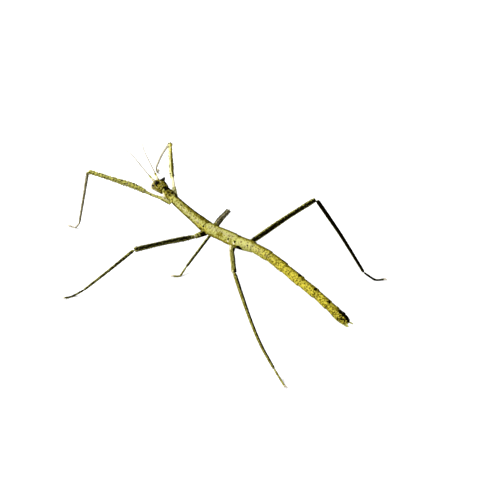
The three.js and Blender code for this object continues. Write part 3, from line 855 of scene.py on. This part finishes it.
def bands(part, *rows, fade=0.8):
    """Bands on a part. A row is a strength, a start, an end, a turn and a half width."""
    return [(strength, band(part, *where, fade=fade)) for strength, *where in rows]


def spots(part, *rows):
    """Spots on a part. A row is a strength, a place, a turn and two half sizes."""
    return [(strength, spot(part, *where)) for strength, *where in rows]


def all_over(strength, *names):
    """One strength over the whole of each part."""
    return [(strength, on(name)) for name in names]


# %% Dark marks and painted shade
BACK_SPOTS = [              # place, turn and half size
    (3.36, -8, 0.6), (5.76, -20, 0.7), (3.6, 96, 0.5), (5.5, 54, 0.35), (6.7, 90, 0.4), (10.6, 30, 0.3),
    (15.4, 18, 0.3), (16.6, 72, 0.35), (24.3, 54, 0.35), (37.4, 60, 0.4), (40.6, 60, 0.4),
    (46.3, 54, 0.3),
]
JOINT_SPOTS = [(40.7, -20), (53.2, -34), (60.2, -22), (67.6, -8), (75.3, 2), (81.8, 2)]
FLANK_SPOTS = [(60.0, 104), (67.5, 108), (75.3, 118), (82.0, 124)]
# Limb bands: partly the legs' own dark faces, partly painted shade; the coxae's dark sides are painted
# shadow.
LIMB_PIGMENT_AND_SHADE = {
    "front_left coxa": [(0.8, 0, 3, -150, 40)],
    "front_left femur": [(0.8, 8, 30, 135, 30), (0.39, 8, 31, -50, 70)],
    "front_right femur": [(0.42, 5.5, 21, 42, 60)],
    "middle_left coxa": [(1.0, 0, 3.2, -100, 80)],
    "middle_left femur": [(0.72, 2, 30, -8, 46), (0.8, 2, 30, 180, 40)],
    "middle_left tibia": [(0.62, -1, 32, -30, 60), (0.7, -1, 32, 150, 40)],
    "middle_left tarsus": [(0.7, -1, 12, -20, 70)],
    "middle_right femur": [(0.75, 0, 30, -84, 40)],
    "middle_right tibia": [(0.66, -1, 32, 146, 80)],
    "hind_left coxa": [(1.0, 0, 5, -90, 60)],
    "hind_left femur": [(0.9, 0, 31, -105, 56)],
    "hind_left tibia": [(1.0, -1, 36, -68, 46)],
    "hind_right coxa": [(0.9, 0, 5, 45, 80)],
    "hind_right femur": [(0.85, 0, 31, 70, 46), (0.7, 0, 31, -100, 40)],
    "hind_right tibia": [(1.0, -1, 36, 80, 75), (0.7, -1, 36, -90, 40)],
    "hind_right tarsus": [(0.8, -1, 12, 60, 90)],
}
dark = layer(
    *spots("trunk", *((1, place, turn, size, size) for place, turn, size in BACK_SPOTS)),
    *spots("trunk", *((0.9, *where, 0.7, 0.9) for where in JOINT_SPOTS)),
    # The last spot here, at place 42.4, is a painted shadow under the trunk behind the left hind coxa.
    *spots("trunk", *((0.6, *where, 0.5, 0.7) for where in FLANK_SPOTS), (1, 42.4, 112, 1.5, 1.1)),
    *bands("trunk", (1, -1.5, 0.1, -10, 60), fade=0.4),
    # Below, bands at negative turns that start before place 86 darken the trunk's right edge, and those at
    # 100 and 150 its lower left edge and underside: partly its own dark colour, partly painted shade.
    *bands(
        "trunk", (0.5, 0.5, 4, -25, 38), (0.4, -1, 4.5, -10, 70), (0.8, 4, 26, -46, 30),
        (0.42, 10, 26, -22, 36), (0.41, 5, 26, 100, 26), (0.9, 20, 27, 150, 30), (0.3, 26, 92, -40, 40),
        (0.7, 26, 92, -46, 24), (1, 86.4, 92, -28, 52), (0.5, 87, 92, 50, 90),
    ),
    *all_over(0.3, "head"),
    *spots("head", (1, 4.6, 20, 0.7, 0.65), (1, 4.3, -28, 0.85, 0.9)),
    *spots("head", (0.9, 5.4, 52, 0.3, 0.3), (0.9, 6.7, 58, 0.35, 0.35)),
    # The first two head bands darken its right side: partly its own dark colour, partly painted shade.
    *bands("head", (0.95, 4, 6.8, -56, 32), (0.95, 6.6, 9, -58, 22), (0.35, 4.6, 8.2, -10, 34)),
    *bands("head", (1, 7.9, 9.2, -20, 75), fade=0.35),
    *(mark for part, rows in LIMB_PIGMENT_AND_SHADE.items() for mark in bands(part, *rows)),
    *((0.42, band(f"{leg} coxa", 0, 6, 0, 180)) for leg in LEGS),
    *((0.36, band(f"{leg} femur", 0, 31, 0, 180)) for leg in LEGS if leg != "front_right"),
)

# %% Yellow, pale and grey marks, with some painted light
CREAM_FLECKS = [
    (6.12, 30), (4.9, 70), (5.6, 66), (6.5, 84), (7.1, 48), (5.2, 2), (6.9, 14), (3.9, 84),
]
trunk_here = on("trunk") * 1.0
gold = layer(
    (0.9, trunk_here * ramp(facts["place"], 36, 66)),
    *spots("trunk", (0.7, 1.7, 60, 1, 1.2)),
    *bands("trunk", (0.35, 3.4, 6, 70, 60), fade=0.5),
    *bands("trunk", (0.45, 0, 4.5, 40, 60), (0.55, 20, 27, 88, 30), (0.6, 30, 42, 110, 26)),
    *all_over(0.55, "head"),
    *bands("scape right", (1, 1.1, 4, 0, 180), fade=0.3),
    *bands("front_right femur", (0.8, 16, 31, 42, 62)),
    *all_over(0.35, "front_left coxa", "front_left femur"),
)
pale = layer(
    *bands("head", (0.75, -0.5, 2.9, 90, 70), (0.75, 3.2, 7, 112, 14)),
    *spots("head", *((0.5, *where, 0.26, 0.22) for where in CREAM_FLECKS)),
    *spots("trunk", *((0.9, place + 0.5, turn + 12, 0.35, 0.4) for place, turn in FLANK_SPOTS)),
    *spots("trunk", (0.9, 1.2, 92, 1, 1.1), (0.8, 3.9, 112, 0.8, 0.6)),
    *spots("trunk", (0.95, 37.5, 80, 0.32, 0.3), (1, 40.1, 80, 0.5, 0.36)),
    *bands("trunk", (0.34, 10, 23, 50, 16)),
    *bands("front_left coxa", (0.5, -1, 6, 40, 100)),
    *bands("front_left femur", (0.35, -1, 7, 0, 180)),
    *bands("front_right coxa", (0.4, 0, 6, 0, 180)),
    *bands("front_right femur", (0.7, -1, 5.5, 0, 180), (0.5, 4, 31, -80, 60)),
    *all_over(0.4, "front_right tibia"),
    # The right front foot is made paler to lift the shade it stands in: its own pale colour plus painted
    # light.
    *all_over(1.1, "front_right tarsus"),
    *bands("middle_left femur", (1, -1, 0.8, 0, 180)),
    # The pale bands on the left hind coxa and femur light the side opposite their dark bands: painted
    # light.
    *bands("hind_left coxa", (0.75, -1, 6, 90, 70)),
    *bands("hind_left femur", (0.55, -1, 31, 80, 50)),
    *((0.9, band(f"scape {side}", -2, 0.9, 0, 180, fade=0.3)) for side in SIDES),
    *all_over(0.8, "palp_left", "palp_right", "labrum"),
)
grey = layer(
    *bands("trunk", (0.45, 7.5, 22, 52, 20), (0.5, 26, 40, 30, 24), (0.4, 41, 56, 50, 30)),
    *all_over(1, "front_right tibia", "front_right tarsus"),
    *bands("front_left tibia", (0.9, -1, 33, -90, 180)),
    *all_over(0.9, "front_left tarsus"),
    *bands("middle_right femur", (0.9, 0, 30, 30, 80)),
    *((1, band(f"whip {side}", -1, 20, 0, 180, fade=0.3)) for side in SIDES),
)

# %% Olive mottling and painted shade
mottle_and_shade = layer(
    (0.46, trunk_here * ramp(-facts["place"], -46, -38)),
    (0.3, trunk_here),
    # Bands at negative turns lay olive along the trunk's right side, and those at 105 and 110 along its
    # lower left edge: partly the insect's own olive, partly painted shade.
    *bands(
        "trunk", (0.72, -1, 4.5, 0, 180), (1.15, 0, 4.4, -30, 60), (1.1, 4.4, 12, -35, 46),
        (1.2, 12, 25.5, -28, 46), (0.95, 6, 24, 105, 26), (1, 25.5, 42, -45, 50),
        (0.85, 26, 42, 110, 26), (0.85, 40, 92, -38, 56),
    ),
    *spots("trunk", (0.85, 33, 52, 2, 0.9)),
    *bands("trunk", (0.5, 49, 62, 50, 60), (0.62, 75, 92, 40, 90), fade=3.0),
    *all_over(0.93, "head"),
    *bands("scape right", (0.62, 1.1, 4, 0, 180), fade=0.3),
    # Olive on one side of the right front femur: partly its own colour, partly painted shade.
    *bands("front_right femur", (1, 5.5, 22, 42, 62), (0.5, 22, 31, 42, 62)),
    *all_over(0.6, "front_left tibia"),
    *((0.02, on(f"{leg} {part}")) for leg in LEGS[:2] for part in ("coxa", "femur")),
    *((0.7, on(f"{leg} {part}")) for leg in LEGS[2:] for part in ("coxa", "femur", "tibia", "tarsus")),
)

# %% Write the marks into the skin
marks = {"dark": dark, "gold": gold, "pale": pale, "grey": grey, "mottle_and_shade": mottle_and_shade}
for label, values in marks.items():
    write_mark(skin.data, label, values)
    print(label, "covers", f"{(values > 0.5).mean():.0%} of the points")
for label in facts:
    skin.data.attributes.remove(skin.data.attributes[label])

# %% [markdown]
# ## Granules, thorns and spurs
#
# The cuticle of a walking stick is set with small round granules, and the keels of its legs carry
# rows of thorns that end in a few spurs at the knee. There are thousands of them, so one dome and one
# thorn are made with a few faces each, and arrays of places, headings and sizes turn them into one
# joined mesh. Each copy takes the marks of the skin that it stands on.

# %% Small shapes to copy
def template(make, **settings):
    """Points and faces of a small shape made by a bmesh operator."""
    shape = bmesh.new()
    make(shape, **settings)
    shape.verts.index_update()
    points = np.array([vertex.co for vertex in shape.verts])
    faces = [[vertex.index for vertex in face.verts] for face in shape.faces]
    shape.free()
    return points, faces


DOME = template(bmesh.ops.create_uvsphere, u_segments=6, v_segments=4, radius=1.0)
THORN = template(
    bmesh.ops.create_cone, cap_ends=True, segments=6, radius1=0.6, radius2=0.08, depth=1.8
)
print("dome", len(DOME[1]), "faces, thorn", len(THORN[1]), "faces")

# %% Where the small shapes stand
rng = np.random.default_rng(11)
stands = {"dome": [], "thorn": []}


def stand(kind, tube, places, angles, sizes, lean=0.0):
    """Small shapes on a tube at the given places and turns. They lean towards the tube's end."""
    guide, relief = tubes[tube]
    spots = guide.surface(places, angles, relief)
    ahead = guide.axes(places)[0]
    headings = unit(unit(spots - guide.centre(places)) + lean * ahead)
    stands[kind].append(np.column_stack([spots, headings, sizes]))


def sprinkle(tube, count, start, end, turns, sizes):
    """Domes at random between two places and two turns."""
    places = rng.uniform(start, end, count)
    angles = rng.uniform(*turns, count) * DEG
    stand("dome", tube, places, angles, rng.uniform(*sizes, count))


def row(tube, keel, start, end, every, size, lean=0.7):
    """A row of thorns along a keel, a little uneven."""
    places = np.arange(start, end, every)
    places = places + rng.uniform(-0.25, 0.25, len(places)) * every
    angles = np.full(len(places), keel * DEG) + rng.uniform(-0.06, 0.06, len(places))
    stand("thorn", tube, places, angles, size * rng.uniform(0.65, 1.15, len(places)), lean)


# %% Grow them
ALL_ROUND = (-180, 180)
sprinkle("trunk", 420, 0.2, 4.6, ALL_ROUND, (0.07, 0.14))
sprinkle("trunk", 900, 4.6, 41.0, ALL_ROUND, (0.06, 0.12))
sprinkle("trunk", 420, 41.0, 91.0, (-120, 120), (0.05, 0.09))
sprinkle("head", 260, 1.5, 7.8, (-120, 120), (0.05, 0.11))
FEMUR_THORNS = {"front": (1.1, 0.66), "middle": (1.1, 0.54), "hind": (1.9, 0.24)}    # spacing, size
BARE = {"front": 0.24, "middle": 0.06, "hind": 0.06}       # share of a femur's base with no thorns
SPUR, SPUR_LEAN = 0.4, 1.4
KNEE_SPURS = np.array(FEMUR_KEELS[1:]) * DEG
for leg in LEGS:
    pair = leg.split("_")[0]
    every, size = FEMUR_THORNS[pair]
    femur, tibia, _ = leg_guides[leg]
    for keel in FEMUR_KEELS:
        row(f"{leg} femur", keel, femur.run * BARE[pair], femur.run - 0.8, every, size)
    knee = np.full(len(KNEE_SPURS), femur.run - 0.35)
    stand("thorn", f"{leg} femur", knee, KNEE_SPURS, np.full(len(KNEE_SPURS), SPUR), SPUR_LEAN)
    for keel in TIBIA_KEELS:
        row(f"{leg} tibia", keel, 1.0, tibia.run - 0.6, every * 1.3, size * 0.5)
    sprinkle(f"{leg} coxa", 36, 0.9, 3.2, ALL_ROUND, (0.06, 0.11))
    sprinkle(f"{leg} femur", 90, 0.5, femur.run - 0.4, ALL_ROUND, (0.04, 0.08))
for kind in stands:
    stands[kind] = np.concatenate(stands[kind])
    print(kind, "copies", len(stands[kind]))


# %% Copy them into one mesh
DARK_SHARE, PALE_SHARE = 0.2, 0.12
PALE_TIP = 0.6


def copies(points, stood):
    """The points of every copy: the shape's own Z turned to each heading."""
    spots, headings, sizes = stood[:, :3], stood[:, 3:6], stood[:, 6]
    across = unit(np.cross(headings, np.where(np.abs(headings[:, :1]) > 0.9, UP, [1.0, 0.0, 0.0])))
    beside = np.cross(headings, across)
    turned = (
        points[None, :, :1] * across[:, None] + points[None, :, 1:2] * beside[:, None]
        + points[None, :, 2:] * headings[:, None]
    )
    return spots[:, None] + turned * sizes[:, None, None]


all_points, all_faces, copied_marks = [], [], {label: [] for label in marks}
start = 0
for (points, faces), stood in ((DOME, stands["dome"]), (THORN, stands["thorn"])):
    placed = copies(points, stood).reshape(-1, 3)
    all_points.append(placed)
    for copy in range(len(stood)):
        all_faces.extend([start + copy * len(points) + corner for corner in face] for face in faces)
    start += len(placed)
    nearest = [tree.find(Vector(spot))[1] for spot in stood[:, :3]]
    draw = rng.uniform(0, 1, len(stood))
    for label, values in marks.items():
        taken = values[nearest].copy()
        if label == "dark":
            taken[draw < DARK_SHARE] = 1
        if label == "pale":
            taken[draw > 1 - PALE_SHARE] = PALE_TIP
        copied_marks[label].append(np.repeat(taken, len(points)))
grain_mesh = bpy.data.meshes.new("granules")
grain_mesh.from_pydata(np.concatenate(all_points) * MM, [], all_faces)
grain_mesh.shade_smooth()
granules = new_object("granules", grain_mesh)
for label, values in copied_marks.items():
    write_mark(grain_mesh, label, np.concatenate(values))
grain_mesh.calc_loop_triangles()
skin.data.calc_loop_triangles()
print("triangles: granules", len(grain_mesh.loop_triangles), "skin", len(skin.data.loop_triangles))

# %% [markdown]
# ## Finishes
#
# The skin's finish mixes a few colours of cuticle. A layer of numbers says how much of a colour lies
# somewhere, and noise breaks its edge into blots, because no insect has a clean painted line. Small
# dark dots and a fine grain lie over everything.
# The olive and black layers also carry painted shade, and the pale layer some painted light.

# %% Mixing tools
NOISE_ROUGH = 0.6


def here(tree):
    return add(tree, "ShaderNodeTexCoord").outputs["Object"]


def noise_at(tree, scale, detail=3.0):
    texture = add(tree, "ShaderNodeTexNoise", {
        "Vector": here(tree), "Scale": scale, "Detail": detail, "Roughness": NOISE_ROUGH,
    })
    return texture.outputs["Fac"]


def sum_of(tree, first, second, share):
    """first + second x share"""
    node = add(tree, "ShaderNodeMath", {0: second, 1: share, 2: first}, operation="MULTIPLY_ADD")
    return node.outputs[0]


def mixed(tree, share, first, second):
    node = add(tree, "ShaderNodeMix", {0: share}, data_type="RGBA")
    for socket, colour in ((6, first), (7, second)):
        if isinstance(colour, tuple):
            node.inputs[socket].default_value = (*colour, 1)
        else:
            tree.links.new(colour, node.inputs[socket])
    return node.outputs[2]


def blotted(tree, label, blots, raggedness, softness):
    """A layer of numbers with its edge broken up by noise."""
    painted = add(tree, "ShaderNodeAttribute", attribute_name=label).outputs["Fac"]
    ragged = sum_of(tree, painted, blots, raggedness)
    middle = 0.5 + raggedness * 0.5
    return mapped(tree, ragged, middle - softness, middle + softness)


def dots(tree, scale, size, share):
    """Round dots in some of the cells of a jittered grid."""
    cells = add(tree, "ShaderNodeTexVoronoi", {"Vector": here(tree), "Scale": scale})
    near_centre = mapped(tree, cells.outputs["Distance"], size, size * 0.6)
    tint = add(tree, "ShaderNodeSeparateColor", {0: cells.outputs["Color"]})
    chosen = mapped(tree, tint.outputs["Red"], 1 - share, 1 - share + 0.02)
    return add(tree, "ShaderNodeMath", {0: near_centre, 1: chosen}, operation="MULTIPLY").outputs[0]


def bumped(tree, shader, height_socket, depth):
    bump = add(tree, "ShaderNodeBump", {"Height": height_socket, "Distance": depth * MM, "Strength": 1.0})
    tree.links.new(bump.outputs["Normal"], shader.inputs["Normal"])


# %% Skin
CUTICLE = (0.60, 0.60, 0.17)
OLIVE = (0.12, 0.095, 0.004)
GOLD = (0.54, 0.46, 0.045)
PALE = (0.69, 0.63, 0.39)
GREY = (0.46, 0.42, 0.33)
NEAR_BLACK = (0.0035, 0.0026, 0.0002)
DIM_CUTICLE = tuple(value * 0.55 for value in CUTICLE)
DOT_BLACK = tuple(value * 2 for value in NEAR_BLACK)

skin_finish, nodes, shader = finish("cuticle", roughness=0.6, shine=0.0)
blots = noise_at(nodes, 700.0, detail=4.0)
flecks = noise_at(nodes, 1500.0)
specks = noise_at(nodes, 1750.0, detail=1.5)
fine = noise_at(nodes, 6000.0)
colour = mixed(nodes, mapped(nodes, specks, 0.36, 0.6), DIM_CUTICLE, CUTICLE)
colour = mixed(nodes, blotted(nodes, "gold", blots, 0.7, 0.5), colour, GOLD)
colour = mixed(nodes, blotted(nodes, "grey", specks, 2.4, 0.3), colour, GREY)
colour = mixed(nodes, blotted(nodes, "mottle_and_shade", specks, 3.6, 0.5), colour, OLIVE)
colour = mixed(nodes, blotted(nodes, "pale", blots, 0.8, 0.25), colour, PALE)
colour = mixed(nodes, dots(nodes, 1300.0, 0.3, 0.3), colour, DOT_BLACK)
colour = mixed(nodes, blotted(nodes, "dark", specks, 1.4, 0.2), colour, NEAR_BLACK)
nodes.links.new(colour, shader.inputs["Base Color"])
bumped(nodes, shader, sum_of(nodes, fine, flecks, 1.5), 0.05)

# %% Horns, eyes and claws
HORN_BLACK = (0.002, 0.0016, 0.0005)
HORN_WORN = (0.014, 0.011, 0.002)
EYE_BLACK = (0.003, 0.002, 0.001)
EYE_RIM_DIM = (0.16, 0.13, 0.03)
EYE_RIM_PALE = (0.5, 0.44, 0.2)
CLAW_DARK = (0.42, 0.34, 0.19)
CLAW_PALE = (0.62, 0.55, 0.38)


def grained(name, roughness, shine, scale, low, high, dim, bright):
    """A finish with two colours mixed by a fine grain."""
    material, tree, shader = finish(name, roughness, shine)
    grain = noise_at(tree, scale)
    tint = mixed(tree, mapped(tree, grain, low, high), dim, bright)
    tree.links.new(tint, shader.inputs["Base Color"])
    return material, tree, shader, grain, tint


claw_finish = grained("claw", 0.35, 0.3, 1500.0, 0.35, 0.65, CLAW_DARK, CLAW_PALE)[0]
horn_finish, nodes, shader, grain, _ = grained("horn", 0.45, 0.04, 3000.0, 0.4, 0.7, HORN_BLACK, HORN_WORN)
bumped(nodes, shader, grain, 0.05)
eye_finish, nodes, shader, _, iris = grained("eye", 0.12, 0.08, 2500.0, 0.4, 0.6, EYE_RIM_DIM, EYE_RIM_PALE)
rim = add(nodes, "ShaderNodeAttribute", attribute_name="rim").outputs["Fac"]
nodes.links.new(mixed(nodes, rim, EYE_BLACK, iris), shader.inputs["Base Color"])

# %% [markdown]
# ## The pieces on the frame's body
#
# Every piece rides on the frame's one body. The eyes, horns and claws replace their own frame parts,
# the skin replaces all the others, and the granules are extra.

# %% Pieces
FINISHES = {
    "skin": skin_finish, "granules": skin_finish, "claws": claw_finish,
    "eye": eye_finish, "horn": horn_finish,
}
pieces = {"skin": skin, "granules": granules, "claws": claws_piece}
for side in SIDES:
    pieces.update({f"eye_{side}": eye_pieces[side], f"horn_{side}": horn_pieces[side]})
for name, piece in pieces.items():
    kind = name.split("_")[0]
    piece.data.materials.clear()
    piece.data.materials.append(FINISHES[kind])
    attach(piece, "root")
SEPARATE = {"claws": [f"{leg}_claws" for leg in LEGS]}
SEPARATE.update({name: [name] for name in pieces if name not in ("skin", "granules", "claws")})
for name, own in SEPARATE.items():
    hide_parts(*own)
taken = {node for own in SEPARATE.values() for node in own}
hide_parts(*(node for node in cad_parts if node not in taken))
